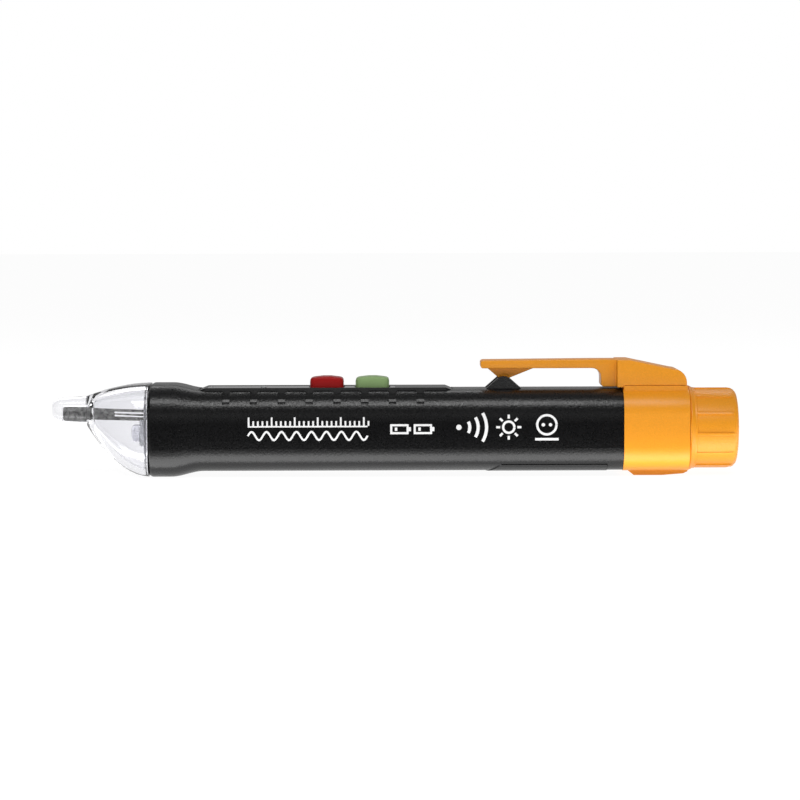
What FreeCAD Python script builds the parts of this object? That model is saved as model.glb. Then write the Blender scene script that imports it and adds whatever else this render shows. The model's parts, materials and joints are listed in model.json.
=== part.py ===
import FreeCAD, Part
import math
import os
import re
import Sketcher

# Pen-type non contact voltage tester, millimetres.
# X runs along the pen, nose at -X and screw-off tail cap at +X; +Z is the side with the
# buttons and the pocket clip.  Every sub-part is drawn about the pen's axis (the line
# Y = Z = 0) and its Placement lifts it by axis_height, so that the pen lies on Z = 0.

SHEET = {
    # whole pen
    "axis_height": 11.15, "tip_end": -82.75, "tail_end": 82.75,
    # housing section: a square core whose corners are rounded
    "core_half": 4.1, "body_radius": 5.7, "bell_radius": 7.05, "wall_thick": 1.6,
    "bell_front": -59.0, "bell_rear": -53.9, "waist_front": -45.9, "bell_edge": 1.0,
    "barrel_rear": 54.9, "fit_gap": 0.1, "run_gap": 0.15,
    # clear nose
    "neck_end": -74.2, "neck_top": 8.24, "neck_bottom": 0.82, "neck_half": 3.6,
    "rim_top": 11.0, "nose_wall": 1.45, "spigot_depth": 2.8, "spigot_wall": 1.2,
    "tongue_axis": 4.85, "tongue_half_root": 3.27, "tongue_half_tip": 2.6,
    "tongue_wide_root": 3.0, "tongue_wide_tip": 2.3, "tongue_round": 2.2,
    "tongue_close": 0.55, "slot_half": 0.8,
    # antenna plate inside the nose
    "antenna_front": -80.2, "antenna_rear": -54.5, "antenna_high": 3.1,
    "antenna_axis_tip": 4.15, "antenna_axis_rear": 3.45, "antenna_thick": 0.5,
    # torch LED, its holder and its board
    "torch_axis": -0.9, "torch_radius": 2.15, "torch_tip": -63.6, "torch_seat": -57.6,
    "torch_round": 0.9, "torch_flange": 0.5, "lead_radius": 0.25, "lead_apart": 2.54,
    "holder_half": 8.1, "holder_front": -59.8, "boss_front": -61.6, "boss_wall": 1.1,
    "board_front": -53.5, "board_thick": 1.0,
    # top panel with its label
    "panel_front": -47.1, "panel_rear": 14.0, "panel_half": 5.5, "panel_top": 10.28,
    "panel_floor": 8.9, "panel_bevel_long": 1.7, "panel_bevel_high": 0.65,
    "panel_corner": 1.6, "window_half": 4.3, "label_front": -45.2, "label_rear": 0.2,
    "label_half": 4.9, "label_thick": 0.3, "label_drop": 0.08, "label_corner": 0.97,
    "lens_place": -31.6, "lens_radius": 0.75, "pilot_place": -44.2, "pilot_radius": 0.4,
    # grip notches along the panel
    "notch_first": -40.3, "notch_pitch": 6.65, "notch_count": 8, "notch_wide": 1.8,
    "notch_mouth": 2.85, "notch_depth": 0.7, "notch_facet_in": 7.6,
    "notch_facet_high": 7.65, "notch_facet_out": 7.9, "notch_facet_low": 7.05,
    "notch_lip_out": 9.83, "notch_lip_low": 6.27,
    # push buttons and their switches
    "power_place": -16.3, "light_place": -5.3, "button_long": 8.1, "button_wide": 6.2,
    "button_corner": 1.3, "button_top": 12.7, "button_edge": 0.6, "button_wall": 0.9,
    "flange_low": 8.25, "flange_thick": 0.6, "flange_lip": 0.5, "flange_gap": 0.05,
    "switch_side": 4.0, "switch_high": 1.6, "plunger_radius": 1.1, "plunger_top": 9.2,
    # circuit board
    "pcb_low": 5.8, "pcb_thick": 1.0, "pcb_front": -56.0, "pcb_rear": 8.0,
    "pcb_half": 6.5, "rail_half": 5.9, "rail_thick": 0.5, "rail_root": 7.9,
    "chip_front": -26.5, "chip_rear": -21.5, "chip_half": 2.2, "smd_first": -42.5,
    "smd_pitch": 2.6, "smd_long": 1.6, "smd_side": 3.6,
    "buzzer_place": -30.0, "buzzer_radius": 5.0, "buzzer_high": 4.0,
    # AAA cells, their tray and contacts
    "cell_front": -13.5, "cell_long": 44.5, "cell_radius": 5.25, "nub_long": 0.9,
    "nub_radius": 1.9, "tray_front": -15.5, "tray_rear": 46.5, "tray_bore": 5.4,
    "tray_top": 1.0, "strip_half": 1.5, "strip_low": 5.4, "strip_thick": 0.3,
    # belly cover and the screws under it
    "belly_front": 21.5, "belly_rear": 51.0, "belly_side": 25.6, "belly_radius": 5.85,
    "belly_inner": 4.95, "belly_gap": 0.1, "screw_first": 30.0, "screw_second": 44.0,
    "screw_radius": 0.95,
    # rear collar with the neck for the cap
    "collar_radius": 5.85, "collar_rear": 70.65, "collar_spigot": 47.0,
    "neck_bore": 5.8, "neck_radius": 7.3, "neck_rear": 79.0,
    "boss_half": 6.6, "boss_top": 10.6, "pad_half": 4.0, "pad_flat_rear": 64.5,
    "pad_slope_rear": 69.6,
    # pocket clip
    "clip_hinge": 47.6, "clip_tip": 20.8, "clip_low": 14.7, "clip_tip_top": 16.6,
    "clip_top": 16.8, "clip_half": 3.6, "clip_gap": 0.15, "clip_rear": 70.3,
    "clip_front": 49.8, "clip_foot": 10.2, "block_start": 53.4, "wedge_half": 1.7,
    "wedge_low": 12.1, "peg_radius": 1.2, "peg_first": 58.5, "peg_second": 65.5,
    "block_top_rear": 56.4, "slope_rear": 67.3, "slope_low": 14.5,
    "brow_rear": 69.3, "brow_low": 13.3, "block_rear_low": 11.4,
    # clip rest on the barrel
    "rest_place": 26.3, "rest_foot": 4.6, "rest_crest": 0.9, "rest_top": 12.75,
    "rest_slot": 2.0, "rest_half": 3.9, "rest_round": 1.4,
    # tail cap, its thread and its contact
    "ring_rear": 72.0, "ring_slope": 0.8, "ring_radius": 10.24, "grip_radius": 9.8,
    "grip_round": 2.4, "rib_start": 72.45, "rib_high": 0.28, "rib_count": 12,
    "rib_phase": -5.0, "rib_spread": 2.4, "cap_bore": 8.2, "cap_floor": 80.75,
    "thread_pitch": 2.0, "thread_start": 73.4, "thread_long": 4.4, "male_crest": 7.9,
    "female_crest": 7.55, "thread_root": 0.7, "thread_tip": 0.4,
    "seal_place": 71.6, "seal_radius": 0.42,
    "spring_wire": 0.35, "spring_radius": 3.2, "disc_thick": 0.4,
}

doc = FreeCAD.newDocument("voltage_tester")
dims = doc.addObject("Spreadsheet::Sheet", "Dims")
for row, (alias, value) in enumerate(SHEET.items(), start=1):
    dims.set(f"A{row}", alias)
    dims.set(f"B{row}", str(value))
    dims.setAlias(f"B{row}", alias)
doc.recompute()

sub_parts = []


# ---------------------------------------------------------------- expressions and sketches

def cells(text):
    """Turn plain sheet names in a formula into references to the sheet."""
    def reference(match):
        word = match.group()
        return f"Dims.{word}" if word in SHEET else word
    return re.sub(r"[a-z_]+", reference, str(text))


def mm(text):
    """The present value of a formula, in millimetres."""
    return float(dims.evalExpression(cells(text)))


def bind(thing, prop, formula):
    thing.setExpression(prop, cells(formula))


def keep(thing, label):
    """Give a finished sub-part its label, lift it to the axis and list it for export."""
    thing.Label = label
    level = dict(thing.ExpressionEngine).get(".Placement.Base.z", "0")
    thing.setExpression("Placement.Base.z", f"Dims.axis_height + {level}")
    sub_parts.append(thing)
    return thing


def new_body(name):
    return doc.addObject("PartDesign::Body", name + "_body")


def origin_plane(body, role):
    return next(item for item in body.Origin.OriginFeatures if item.Role == role)


def new_sketch(body, plane, offset="0"):
    """An empty sketch on an origin plane; the offset runs along the plane's normal."""
    sketch = body.newObject("Sketcher::SketchObject", "sketch")
    sketch.AttachmentSupport = [(origin_plane(body, plane + "_Plane"), "")]
    sketch.MapMode = "FlatFace"
    bind(sketch, "AttachmentOffset.Base.z", offset)
    return sketch


def hold(sketch, geometry, point, formulas):
    """Hold one point of a sketch at two formulas."""
    for kind, formula in zip(("DistanceX", "DistanceY"), formulas):
        place = sketch.addConstraint(
            Sketcher.Constraint(kind, -1, 1, geometry, point, mm(formula)))
        bind(sketch, f"Constraints[{place}]", formula)


def hold_radius(sketch, geometry, formula):
    place = sketch.addConstraint(Sketcher.Constraint("Radius", geometry, mm(formula)))
    bind(sketch, f"Constraints[{place}]", formula)


def polygon(sketch, points):
    """A closed outline of straight lines, each corner held by two formulas."""
    corners = [FreeCAD.Vector(mm(across), mm(up), 0) for across, up in points]
    count = len(corners)
    first = sketch.GeometryCount
    for index in range(count):
        line = Part.LineSegment(corners[index], corners[(index + 1) % count])
        sketch.addGeometry(line)
    for index in range(count):
        following = first + (index + 1) % count
        sketch.addConstraint(
            Sketcher.Constraint("Coincident", first + index, 2, following, 1))
        hold(sketch, first + index, 1, points[index])


def rectangle(sketch, left, right, low, high):
    polygon(sketch, [(left, low), (right, low), (right, high), (left, high)])


def circle(sketch, across, up, radius):
    centre = FreeCAD.Vector(mm(across), mm(up), 0)
    index = sketch.addGeometry(Part.Circle(centre, FreeCAD.Vector(0, 0, 1), mm(radius)))
    hold(sketch, index, 3, (across, up))
    hold_radius(sketch, index, radius)


def rounded_box(sketch, across, up, half_wide, half_high, radius):
    """A rectangle about (across, up) with round corners: four arcs joined by lines."""
    corner = mm(radius)
    signs = [(1, 1), (-1, 1), (-1, -1), (1, -1)]
    arcs = []
    for quarter, (side, level) in enumerate(signs):
        middle = (f"{across} + {side} * ({half_wide} - ({radius}))",
                  f"{up} + {level} * ({half_high} - ({radius}))")
        centre = FreeCAD.Vector(mm(middle[0]), mm(middle[1]), 0)
        full = Part.Circle(centre, FreeCAD.Vector(0, 0, 1), corner)
        start = quarter * math.pi / 2
        index = sketch.addGeometry(Part.ArcOfCircle(full, start, start + math.pi / 2))
        hold(sketch, index, 3, middle)
        hold_radius(sketch, index, radius)
        arcs.append(index)
    for quarter in range(4):
        leaving, entering = arcs[quarter], arcs[(quarter + 1) % 4]
        begin = sketch.getPoint(leaving, 2)
        finish = sketch.getPoint(entering, 1)
        line = sketch.addGeometry(Part.LineSegment(begin, finish))
        sketch.addConstraint(Sketcher.Constraint("Tangent", leaving, 2, line, 1))
        sketch.addConstraint(Sketcher.Constraint("Tangent", line, 2, entering, 1))


def round_square(sketch, radius):
    """The housing's own section: the core square rounded out by a radius."""
    half = f"(core_half + {radius})"
    rounded_box(sketch, "0", "0", half, half, radius)


# --------------------------------------------------------------------------- solid features

def extrude(body, sketch, length, cut=False, both_ways=False):
    """Pad or pocket a sketch along its plane's normal."""
    kind = "PartDesign::Pocket" if cut else "PartDesign::Pad"
    before = 0.0
    if cut:
        doc.recompute()
        before = body.Shape.Volume
    feature = body.newObject(kind, "pocket" if cut else "pad")
    feature.Profile = sketch
    # a pocket runs against the normal unless it is reversed
    feature.Reversed = cut
    feature.Midplane = both_ways
    bind(feature, "Length", length)
    doc.recompute()
    if cut and body.Shape.Volume > before - 1e-3:
        raise RuntimeError(f"{body.Name}: a pocket removed nothing")
    return feature


def prism(body, plane, low, high, draw, cut=False):
    """Extrude what draw(sketch) outlines from one level of the plane's normal to another."""
    sketch = new_sketch(body, plane, low)
    draw(sketch)
    return extrude(body, sketch, f"{high} - ({low})", cut=cut)


def across_pen(body, half_wide, draw, cut=False):
    """Extrude an outline in X and Z equally to both sides of the pen's middle."""
    sketch = new_sketch(body, "XZ")
    draw(sketch)
    return extrude(body, sketch, f"2 * ({half_wide})", cut=cut, both_ways=True)


def turned(body, points, cut=False):
    """Turn an outline of X and radius about the pen's axis."""
    sketch = new_sketch(body, "XZ")
    polygon(sketch, points)
    kind = "PartDesign::Groove" if cut else "PartDesign::Revolution"
    feature = body.newObject(kind, "turned")
    feature.Profile = sketch
    feature.ReferenceAxis = (origin_plane(body, "X_Axis"), [""])
    feature.Angle = 360
    return feature


def loft(body, sketches, cut=False, ruled=False):
    kind = "PartDesign::SubtractiveLoft" if cut else "PartDesign::AdditiveLoft"
    feature = body.newObject(kind, "loft")
    feature.Profile = sketches[0]
    feature.Sections = sketches[1:]
    feature.Ruled = ruled
    return feature


def pick_edges(shape, wanted):
    """Names of the edges whose middle point and direction the test accepts."""
    names = []
    for index, edge in enumerate(shape.Edges, start=1):
        middle = edge.valueAt((edge.FirstParameter + edge.LastParameter) / 2)
        along = edge.tangentAt((edge.FirstParameter + edge.LastParameter) / 2)
        if wanted(middle, along):
            names.append(f"Edge{index}")
    return names


def soften(body, kind, size, wanted):
    """Fillet or chamfer the body's edges that the test accepts."""
    doc.recompute()
    base = body.Tip
    names = pick_edges(base.Shape, wanted)
    if not names:
        raise RuntimeError(f"{body.Name}: no edge to soften")
    feature = body.newObject("PartDesign::" + kind, kind.lower())
    feature.Base = (base, names)
    bind(feature, "Radius" if kind == "Fillet" else "Size", size)
    return feature


def repeat_along_x(body, features, pitch, count):
    pattern = body.newObject("PartDesign::LinearPattern", "pattern")
    pattern.Originals = features
    pattern.Direction = (origin_plane(body, "X_Axis"), [""])
    bind(pattern, "Length", f"{pitch} * ({count} - 1)")
    bind(pattern, "Occurrences", count)
    body.Tip = pattern


def box(name, left, right, half_wide, low, high, middle="0"):
    """A plain block, a Part::Box with every side bound."""
    block = doc.addObject("Part::Box", name)
    bind(block, "Length", f"{right} - ({left})")
    bind(block, "Width", f"2 * ({half_wide})")
    bind(block, "Height", f"{high} - ({low})")
    bind(block, "Placement.Base.x", left)
    bind(block, "Placement.Base.y", f"{middle} - ({half_wide})")
    bind(block, "Placement.Base.z", low)
    return block


def rod(name, along, across, low, high, radius):
    """An upright Part::Cylinder with every size bound."""
    solid = doc.addObject("Part::Cylinder", name)
    bind(solid, "Radius", radius)
    bind(solid, "Height", f"{high} - ({low})")
    bind(solid, "Placement.Base.x", along)
    bind(solid, "Placement.Base.y", across)
    bind(solid, "Placement.Base.z", low)
    return solid


def join(name, pieces):
    fused = doc.addObject("Part::MultiFuse", name)
    fused.Shapes = pieces
    return fused


def group(name, pieces):
    """Separate solids that share one node."""
    compound = doc.addObject("Part::Compound", name)
    compound.Links = pieces
    return compound


def take_away(name, base, tool):
    cut = doc.addObject("Part::Cut", name)
    cut.Base = base
    cut.Tool = tool
    return cut


def blend(first, last, share):
    """A formula part of the way from one formula to another."""
    return f"({first} + ({last} - ({first})) * {share:.4f})"


# ------------------------------------------------------------------------------ clear nose

def ease_out(share, power):
    return 1 - (1 - share) ** power


def nose_station(share):
    """X, top, bottom and half width of the cone at a share of its length."""
    return (blend("neck_end", "bell_front", share),
            blend("neck_top", "rim_top", ease_out(share, 2.0)),
            blend("neck_bottom", "(-axis_height)", ease_out(share, 1.88)),
            blend("neck_half", "axis_height", ease_out(share, 1.9)))


def nose_section(body, station, inset="0", shift="0"):
    """One rounded section of the cone; its corner radius keeps its share of the size."""
    place, top, bottom, half_wide = station
    sketch = new_sketch(body, "YZ", f"{place} + {shift}")
    half_high = f"(({top} - ({bottom})) / 2 - {inset})"
    inner_wide = f"({half_wide} - {inset})"
    rounded_box(sketch, "0", f"({top} + {bottom}) / 2", inner_wide, half_high,
                f"0.63 * min({inner_wide}; {half_high})")
    return sketch


def make_nose():
    body = new_body("nose_cone")
    shares = [0.0, 0.09, 0.22, 0.39, 0.6, 0.8, 1.0]
    loft(body, [nose_section(body, nose_station(share)) for share in shares])

    # tongue in front of the cone: tapered, with its end closed in on a quarter ellipse
    tongue = []
    for degrees in (90, 66, 45, 27, 12, 0):
        sketch = new_sketch(body, "YZ", f"tip_end + tongue_round * (1 - sin({degrees}))")
        size = f"(1 - tongue_close * (1 - cos({degrees})))"
        rounded_box(sketch, "0", "tongue_axis", f"(tongue_wide_tip * {size})",
                    f"(tongue_half_tip * {size})", f"(0.8 * tongue_wide_tip * {size})")
        tongue.append(sketch)
    root = new_sketch(body, "YZ", "neck_end + 0.6")
    rounded_box(root, "0", "tongue_axis", "tongue_wide_root", "tongue_half_root",
                "(0.8 * tongue_wide_root)")
    loft(body, tongue + [root], ruled=True)

    # spigot that pushes into the bell
    prism(body, "YZ", "bell_front", "bell_front + spigot_depth", lambda sketch:
          round_square(sketch, "(bell_radius - wall_thick - fit_gap)"))

    # hollow inside: cone, slot for the antenna and bore of the spigot
    cavity = [nose_section(body, nose_station(share), "nose_wall", "0.9")
              for share in (0.06, 0.22, 0.39, 0.6, 0.8)]
    cavity.append(nose_section(body, nose_station(1.0), "nose_wall"))
    loft(body, cavity, cut=True)
    across_pen(body, "slot_half", lambda sketch: rectangle(
        sketch, "antenna_front - 0.25", "neck_end + 3", "tongue_axis - 2.45",
        "tongue_axis + 1.0"), cut=True)
    prism(body, "YZ", "bell_front - 0.2", "bell_front + spigot_depth", lambda sketch:
          round_square(sketch, "(bell_radius - wall_thick - fit_gap - spigot_wall)"),
          cut=True)
    return keep(body, "nose_cone")


# ---------------------------------------------------------------------------------- barrel

def housing(body, inset, front, rear, cut=False):
    """The bell, its waist and the straight barrel, inset from the outside by a wall."""
    bell = f"(bell_radius - {inset})"
    straight = f"(body_radius - {inset})"
    prism(body, "YZ", front, "bell_rear", lambda sketch: round_square(sketch, bell), cut)
    waist = []
    for step in range(7):
        sketch = new_sketch(body, "YZ", blend("bell_rear", "waist_front", step / 6))
        share = (1 - math.cos(math.pi * step / 6)) / 2
        round_square(sketch, blend(bell, straight, share))
        waist.append(sketch)
    loft(body, waist, cut)
    prism(body, "YZ", "waist_front", rear, lambda sketch:
          round_square(sketch, straight), cut)


def notch_outline(side):
    """Section of a grip notch: it follows the shoulder and ends in a slanted facet."""
    def point(radius, degrees):
        return (f"{side} * (core_half + ({radius}) * cos({degrees}))",
                f"core_half + ({radius}) * sin({degrees})")
    floor = "body_radius - notch_depth"
    inner = [point(floor, degrees) for degrees in (84, 72, 60, 48)]
    facet = [(f"{side} * notch_facet_in", "notch_facet_high"),
             (f"{side} * notch_facet_out", "notch_facet_low"),
             (f"{side} * notch_lip_out", "notch_lip_low")]
    outer = [point("body_radius + 0.9", degrees) for degrees in (30, 45, 60, 75, 84)]
    return inner + facet + outer


def cut_notches(body):
    for side in (-1, 1):
        first = "notch_first - notch_wide / 2"
        groove = prism(body, "YZ", first, f"{first} + notch_wide", lambda sketch:
                       polygon(sketch, notch_outline(side)), cut=True)
        inner, outer = f"{side} * (panel_half - 0.2)", f"{side} * (panel_half + 1.1)"
        mouth = prism(body, "XY", "panel_floor", "panel_top", lambda sketch: polygon(
            sketch, [("notch_first - notch_mouth / 2", inner),
                     ("notch_first + notch_mouth / 2", inner),
                     ("notch_first + notch_wide / 2", outer),
                     ("notch_first - notch_wide / 2", outer)]), cut=True)
        repeat_along_x(body, [groove, mouth], "notch_pitch", "notch_count")


def add_clip_rest(body):
    """Two cheeks on top of the barrel that the clip's nib drops between."""
    for side in (-1, 1):
        sketch = new_sketch(body, "XZ", f"{side} * (rest_slot + rest_half) / 2")
        polygon(sketch, [("rest_place - rest_foot", "core_half + body_radius - 0.3"),
                         ("rest_place + rest_foot", "core_half + body_radius - 0.3"),
                         ("rest_place + rest_crest", "rest_top"),
                         ("rest_place - rest_crest", "rest_top")])
        extrude(body, sketch, "rest_half - rest_slot", both_ways=True)
    crest = mm("rest_top")
    soften(body, "Fillet", "rest_round", lambda middle, along:
           abs(middle.z - crest) < 0.01 and abs(along.y) > 0.9)


def belly_section(sketch, outer, inner):
    """Sector of the housing's wall across the belly, from one 45 degree line to the other."""
    def corner(side, radius, degrees):
        return (f"{side} * (core_half + ({radius}) * sin({degrees}))",
                f"-core_half - ({radius}) * cos({degrees})")
    right_out = [corner(1, outer, degrees) for degrees in (0, 9, 18, 27, 36, 45)]
    right_in = [corner(1, inner, degrees) for degrees in (45, 30, 15, 0)]
    left_in = [corner(-1, inner, degrees) for degrees in (0, 15, 30, 45)]
    left_out = [corner(-1, outer, degrees) for degrees in (45, 36, 27, 18, 9, 0)]
    polygon(sketch, right_out + right_in + left_in + left_out)


def belly_shape(name, grow, outer, inner):
    """Belly cover's solid, or the recess for it when grown: its front end is an arc."""
    body = new_body(name)
    prism(body, "YZ", f"belly_front - {grow}", f"belly_rear + {grow}", lambda sketch:
          belly_section(sketch, outer, inner))
    rise = "(belly_side - belly_front)"
    reach = f"(((core_half + body_radius * sin(45)) ^ 2 + {rise} ^ 2) / (2 * {rise}))"
    disc = rod(name + "_front", f"belly_front + {reach}", "0", "-2 * axis_height", "0",
               f"{reach} + {grow}")
    long_box = box(name + "_rear", "belly_side", "belly_rear + 2", "axis_height",
                   "-2 * axis_height", "0")
    outline = join(name + "_outline", [disc, long_box])
    common = doc.addObject("Part::Common", name)
    common.Base = body
    common.Tool = outline
    return common


def make_barrel():
    body = new_body("barrel")
    housing(body, "0", "bell_front", "barrel_rear")
    front = mm("bell_front")
    soften(body, "Fillet", "bell_edge", lambda middle, along:
           abs(middle.x - front) < 0.01)
    housing(body, "wall_thick", "bell_front", "barrel_rear", cut=True)
    # seat and window for the top panel
    prism(body, "XY", "panel_floor", "panel_top", lambda sketch: rounded_box(
        sketch, "(panel_front + panel_rear) / 2", "0",
        "((panel_rear - panel_front) / 2 + fit_gap / 2)", "(panel_half + fit_gap / 2)",
        "panel_corner"), cut=True)
    prism(body, "XY", "panel_floor - 2", "panel_floor", lambda sketch: rounded_box(
        sketch, "(panel_front + panel_rear) / 2", "0",
        "((panel_rear - panel_front) / 2 - 2)", "window_half", "1"), cut=True)
    cut_notches(body)
    # rails that carry the circuit board's edges
    for side in (-1, 1):
        prism(body, "YZ", "waist_front + 1", "pcb_rear", lambda sketch: rectangle(
            sketch, f"{side} * rail_half", f"{side} * rail_root",
            "pcb_low - 0.05 - rail_thick", "pcb_low - 0.05"))
    # holes for the two screws under the belly cover
    for place in ("screw_first", "screw_second"):
        prism(body, "XY", "-axis_height", "-6", lambda sketch:
              circle(sketch, place, "0", "screw_radius + fit_gap"), cut=True)
    add_clip_rest(body)
    recess = belly_shape("belly_recess", "belly_gap", "belly_radius + 1",
                         "belly_inner - 0.05")
    return keep(take_away("barrel", body, recess), "barrel")


def make_belly_cover():
    cover = belly_shape("belly_cover_shape", "0", "belly_radius", "belly_inner")
    return keep(cover, "belly_cover")


def make_cover_screws():
    screws = []
    for number, place in enumerate(("screw_first", "screw_second"), start=1):
        shank = rod(f"screw_shank_{number}", place, "0", "-8.4", "-5.7", "screw_radius")
        head = doc.addObject("Part::Cone", f"screw_head_{number}")
        bind(head, "Radius1", "screw_radius + 0.02")
        bind(head, "Radius2", "screw_radius")
        bind(head, "Height", "0.5")
        bind(head, "Placement.Base.x", place)
        bind(head, "Placement.Base.z", "-8.88")
        screws.append(join(f"screw_{number}", [shank, head]))
    return keep(group("cover_screws", screws), "cover_screws")


# ------------------------------------------------------------------- panel, label, lenses

def button_window(sketch, place, grow):
    rounded_box(sketch, place, "0", f"(button_long / 2 + {grow})",
                f"(button_wide / 2 + {grow})", f"(button_corner + {grow})")


def lens_holes(sketch, grow):
    circle(sketch, "lens_place", "0", f"lens_radius + {grow}")
    circle(sketch, "pilot_place", "0", f"pilot_radius + {grow}")


def make_top_panel():
    body = new_body("top_panel")
    prism(body, "XY", "panel_floor", "panel_top", lambda sketch: rounded_box(
        sketch, "(panel_front + panel_rear) / 2", "0",
        "((panel_rear - panel_front) / 2)", "panel_half", "panel_corner"))
    for end, inward in (("panel_front", 1), ("panel_rear", -1)):
        across_pen(body, "panel_half", lambda sketch: polygon(
            sketch, [(end, "panel_top - panel_bevel_high"),
                     (f"{end} + {inward} * panel_bevel_long", "panel_top"),
                     (end, "panel_top")]), cut=True)
    prism(body, "XY", "panel_top - label_thick - label_drop", "panel_top", lambda sketch:
          rounded_box(sketch, "(label_front + label_rear) / 2", "0",
                      "((label_rear - label_front) / 2 + 0.03)", "(label_half + 0.03)",
                      "1"), cut=True)
    for place in ("power_place", "light_place"):
        prism(body, "XY", "panel_floor", "panel_top", lambda sketch:
              button_window(sketch, place, "run_gap"), cut=True)
    prism(body, "XY", "panel_floor", "panel_top", lambda sketch:
          lens_holes(sketch, "0.02"), cut=True)
    return keep(body, "top_panel")


def make_panel_label():
    body = new_body("panel_label")
    low = "panel_top - label_drop - label_thick"
    high = "panel_top - label_drop"
    prism(body, "XY", low, high, lambda sketch: rounded_box(
        sketch, "(label_front + label_rear) / 2", "0", "((label_rear - label_front) / 2)",
        "label_half", "label_corner"))
    for place in ("power_place", "light_place"):
        prism(body, "XY", low, high, lambda sketch:
              button_window(sketch, place, "(run_gap + 0.1)"), cut=True)
    prism(body, "XY", low, high, lambda sketch: lens_holes(sketch, "0.02"), cut=True)
    return keep(body, "panel_label")


def make_lenses():
    keep(rod("indicator_lens", "lens_place", "0", "panel_floor", "panel_top + 0.1",
             "lens_radius"), "indicator_lens")
    keep(rod("pilot_lens", "pilot_place", "0", "panel_floor", "panel_top + 0.02",
             "pilot_radius"), "pilot_lens")


# ------------------------------------------------------------------------ buttons, switches

def make_button(label, place):
    """Hollow key with a crowned top, a flange under the panel and a stem on the switch."""
    body = new_body(label)
    prism(body, "XY", "flange_low", "button_top", lambda sketch:
          button_window(sketch, place, "0"))
    top = mm("button_top")
    soften(body, "Fillet", "button_edge", lambda middle, along:
           abs(middle.z - top) < 0.01)
    prism(body, "XY", "flange_low", "flange_low + flange_thick", lambda sketch:
          button_window(sketch, place, "flange_lip"))
    prism(body, "XY", "flange_low", "button_top - 1.2", lambda sketch: rounded_box(
        sketch, place, "0", "(button_long / 2 - button_wall)",
        "(button_wide / 2 - button_wall)", "0.8"), cut=True)
    prism(body, "XY", "plunger_top + flange_gap", "button_top - 1", lambda sketch:
          circle(sketch, place, "0", "plunger_radius - 0.1"))
    return keep(body, label)


def make_switch(name, place):
    """Tactile switch on the circuit board and the plunger that stands in it."""
    floor = "pcb_low + pcb_thick"
    top = f"{floor} + switch_high"
    case = box(name + "_case", f"{place} - switch_side / 2", f"{place} + switch_side / 2",
               "switch_side / 2", floor, top)
    well = rod(name + "_well", place, "0", f"{top} - 0.85", f"{top} + 1",
               "plunger_radius + 0.05")
    keep(take_away(name + "_switch", case, well), name + "_switch")
    keep(rod(name + "_plunger", place, "0", f"{top} - 0.2", "plunger_top",
             "plunger_radius"), name + "_plunger")


# ----------------------------------------------------------------------------- electronics

def make_antenna():
    body = new_body("antenna_plate")
    half = "antenna_high / 2"
    slope = "(antenna_axis_rear - antenna_axis_tip) / (antenna_rear - antenna_front)"

    def level(place, up):
        return f"antenna_axis_tip + ({place} - antenna_front) * {slope} + {up}"

    def outline(sketch):
        front, rear = "antenna_front", "antenna_rear"
        polygon(sketch, [(front, level(front, "-0.7 * " + half)),
                         (f"{front} + 0.5", level(front, "-" + half)),
                         (rear, level(rear, "-" + half)),
                         (rear, "pcb_low"), (f"{rear} - 1.4", "pcb_low"),
                         (f"{rear} - 1.4", level(rear, half)),
                         (f"{front} + 0.5", level(front, half)),
                         (front, level(front, "0.7 * " + half))])

    across_pen(body, "antenna_thick / 2", outline)
    for up in (-0.62, 0.35):
        across_pen(body, "antenna_thick", lambda sketch: polygon(
            sketch, [("antenna_front + 12.5", level("antenna_front + 12.5", up)),
                     ("antenna_rear - 3", level("antenna_rear - 3", up)),
                     ("antenna_rear - 3", level("antenna_rear - 3", up + 0.42)),
                     ("antenna_front + 12.5", level("antenna_front + 12.5", up + 0.42))]),
            cut=True)
    return keep(body, "antenna_plate")


def make_torch():
    """LED with a round-cornered lens, a base flange and two leads to its board."""
    def along_x(front, rear, radius, across="0"):
        prism(body, "YZ", front, rear, lambda sketch:
              circle(sketch, across, "torch_axis", radius))

    body = new_body("flashlight_led")
    along_x("torch_tip", "torch_seat + 0.5", "torch_radius")
    tip = mm("torch_tip")
    soften(body, "Fillet", "torch_round", lambda middle, along:
           abs(middle.x - tip) < 0.01)
    along_x("torch_seat", "torch_seat + 1", "torch_radius + torch_flange")
    for side in (-1, 1):
        along_x("torch_seat + 0.9", "board_front", "lead_radius",
                f"{side} * lead_apart / 2")
    return keep(body, "flashlight_led")


def make_led_holder():
    """Bulkhead inside the nose that centres the torch and lets the antenna past."""
    body = new_body("led_holder")
    prism(body, "YZ", "holder_front", "torch_seat", lambda sketch:
          rounded_box(sketch, "0", "0", "holder_half", "holder_half", "4.1"))
    prism(body, "YZ", "boss_front", "holder_front", lambda sketch:
          circle(sketch, "0", "torch_axis", "torch_radius + boss_wall"))
    prism(body, "YZ", "boss_front", "torch_seat", lambda sketch:
          circle(sketch, "0", "torch_axis", "torch_radius + 0.05"), cut=True)
    prism(body, "YZ", "boss_front", "torch_seat", lambda sketch: rectangle(
        sketch, "-0.5", "0.5", "torch_axis", "5.8"), cut=True)
    return keep(body, "led_holder")


def make_boards():
    keep(box("pcb", "pcb_front", "pcb_rear", "pcb_half", "pcb_low",
             "pcb_low + pcb_thick"), "pcb")
    keep(box("led_board", "board_front", "board_front + board_thick", "4",
             "torch_axis - 3", "pcb_low"), "led_board")


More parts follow.
